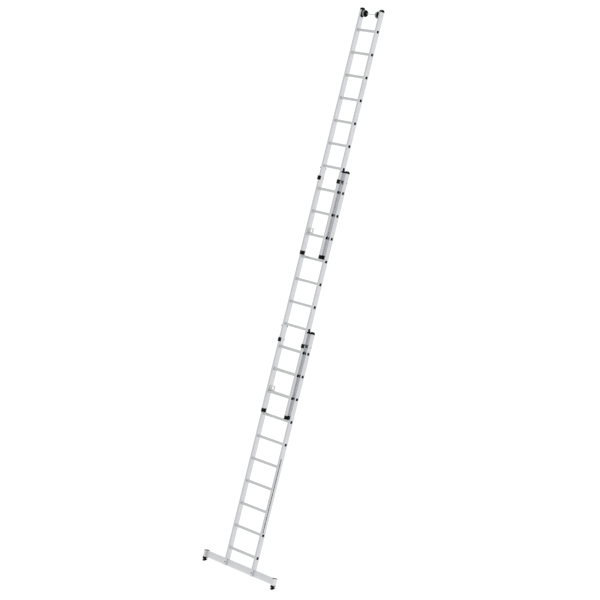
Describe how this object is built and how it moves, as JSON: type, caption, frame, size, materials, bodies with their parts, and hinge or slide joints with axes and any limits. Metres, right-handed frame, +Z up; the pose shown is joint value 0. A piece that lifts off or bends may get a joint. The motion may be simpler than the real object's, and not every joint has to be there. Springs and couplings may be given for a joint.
{
  "type": "extension ladder",
  "caption": "Aluminium extension ladder in sliding sections, leaning at its working angle, with rung hooks, wall rollers and a stabiliser bar on tilting feet.",
  "frame": {"origin": "on the floor, midway between the undersides of the two feet", "axes": "+Z up, +X to the right of a climber facing the ladder, who stands on the -Y side; the ladder leans back towards +Y by 18.5 degrees"},
  "size_m": [1.304, 2.1782, 6.6443],
  "materials": {
    "aluminium": "extruded, satin",
    "rung_aluminium": "extruded and ribbed, satin",
    "crossbar_aluminium": "extruded, satin",
    "black_plastic": "moulded, fine texture",
    "hook_steel": "zinc plated",
    "guide_steel": "zinc plated",
    "axle_steel": "zinc plated",
    "roller_rubber": "grey tread, matt",
    "foot_rubber": "moulded rubber, matt"
  },
  "bodies": {
    "bottom_section": {"bottom_cap_left": "black_plastic", "bottom_cap_right": "black_plastic", "bottom_guide_left": "guide_steel", "bottom_guide_right": "guide_steel", "bottom_rung_01": "rung_aluminium", "bottom_rung_02": "rung_aluminium", "bottom_rung_03": "rung_aluminium", "bottom_rung_04": "rung_aluminium", "bottom_rung_05": "rung_aluminium", "bottom_rung_06": "rung_aluminium", "bottom_rung_07": "rung_aluminium", "bottom_rung_08": "rung_aluminium", "bottom_rung_09": "rung_aluminium", "bottom_rung_10": "rung_aluminium", "bottom_stile_left": "aluminium", "bottom_stile_right": "aluminium", "crossbar": "crossbar_aluminium"},
    "middle_section": {"middle_cap_left": "black_plastic", "middle_cap_right": "black_plastic", "middle_guide_left": "guide_steel", "middle_guide_right": "guide_steel", "middle_rung_01": "rung_aluminium", "middle_rung_02": "rung_aluminium", "middle_rung_03": "rung_aluminium", "middle_rung_04": "rung_aluminium", "middle_rung_05": "rung_aluminium", "middle_rung_06": "rung_aluminium", "middle_rung_07": "rung_aluminium", "middle_rung_08": "rung_aluminium", "middle_rung_09": "rung_aluminium", "middle_rung_10": "rung_aluminium", "middle_shoe_left": "black_plastic", "middle_shoe_right": "black_plastic", "middle_stile_left": "aluminium", "middle_stile_right": "aluminium"},
    "top_section": {"roller_axle": "axle_steel", "top_cap_left": "black_plastic", "top_cap_right": "black_plastic", "top_rung_01": "rung_aluminium", "top_rung_02": "rung_aluminium", "top_rung_03": "rung_aluminium", "top_rung_04": "rung_aluminium", "top_rung_05": "rung_aluminium", "top_rung_06": "rung_aluminium", "top_rung_07": "rung_aluminium", "top_rung_08": "rung_aluminium", "top_rung_09": "rung_aluminium", "top_rung_10": "rung_aluminium", "top_shoe_left": "black_plastic", "top_shoe_right": "black_plastic", "top_stile_left": "aluminium", "top_stile_right": "aluminium"},
    "roller_left": {"roller_left": "roller_rubber"},
    "roller_right": {"roller_right": "roller_rubber"},
    "foot_left": {"foot_left": "foot_rubber"},
    "foot_right": {"foot_right": "foot_rubber"},
    "middle_hook_left": {"middle_hook_left": "hook_steel"},
    "middle_hook_right": {"middle_hook_right": "hook_steel"},
    "top_hook_left": {"top_hook_left": "hook_steel"},
    "top_hook_right": {"top_hook_right": "hook_steel"}
  },
  "joints": [
    {"name": "middle_slide", "type": "slide", "parent": "bottom_section", "child": "middle_section", "axis": [0, 0.3173, 0.9483], "range_m": [-1.96, 0]},
    {"name": "top_slide", "type": "slide", "parent": "middle_section", "child": "top_section", "axis": [0, 0.3173, 0.9483], "range_m": [-1.96, 0]},
    {"name": "roller_left_spin", "type": "hinge", "parent": "top_section", "child": "roller_left", "pos_m": [-0.111, 2.10635, 6.58444], "axis": [1, 0, 0], "continuous": true},
    {"name": "roller_right_spin", "type": "hinge", "parent": "top_section", "child": "roller_right", "pos_m": [0.111, 2.10635, 6.58444], "axis": [1, 0, 0], "continuous": true},
    {"name": "middle_hook_left_pivot", "type": "hinge", "parent": "middle_section", "child": "middle_hook_left", "pos_m": [-0.195, 0.68717, 2.17119], "axis": [1, 0, 0], "range_deg": [0, 125]},
    {"name": "middle_hook_right_pivot", "type": "hinge", "parent": "middle_section", "child": "middle_hook_right", "pos_m": [0.195, 0.68717, 2.17119], "axis": [1, 0, 0], "range_deg": [0, 125]},
    {"name": "top_hook_left_pivot", "type": "hinge", "parent": "top_section", "child": "top_hook_left", "pos_m": [-0.153, 1.26593, 4.04434], "axis": [1, 0, 0], "range_deg": [0, 125]},
    {"name": "top_hook_right_pivot", "type": "hinge", "parent": "top_section", "child": "top_hook_right", "pos_m": [0.153, 1.26593, 4.04434], "axis": [1, 0, 0], "range_deg": [0, 125]},
    {"name": "foot_left_tilt", "type": "hinge", "parent": "bottom_section", "child": "foot_left", "pos_m": [-0.637, 0, 0.0245], "axis": [1, 0, 0], "range_deg": [-20, 20]},
    {"name": "foot_right_tilt", "type": "hinge", "parent": "bottom_section", "child": "foot_right", "pos_m": [0.637, 0, 0.0245], "axis": [1, 0, 0], "range_deg": [-20, 20]}
  ]
}
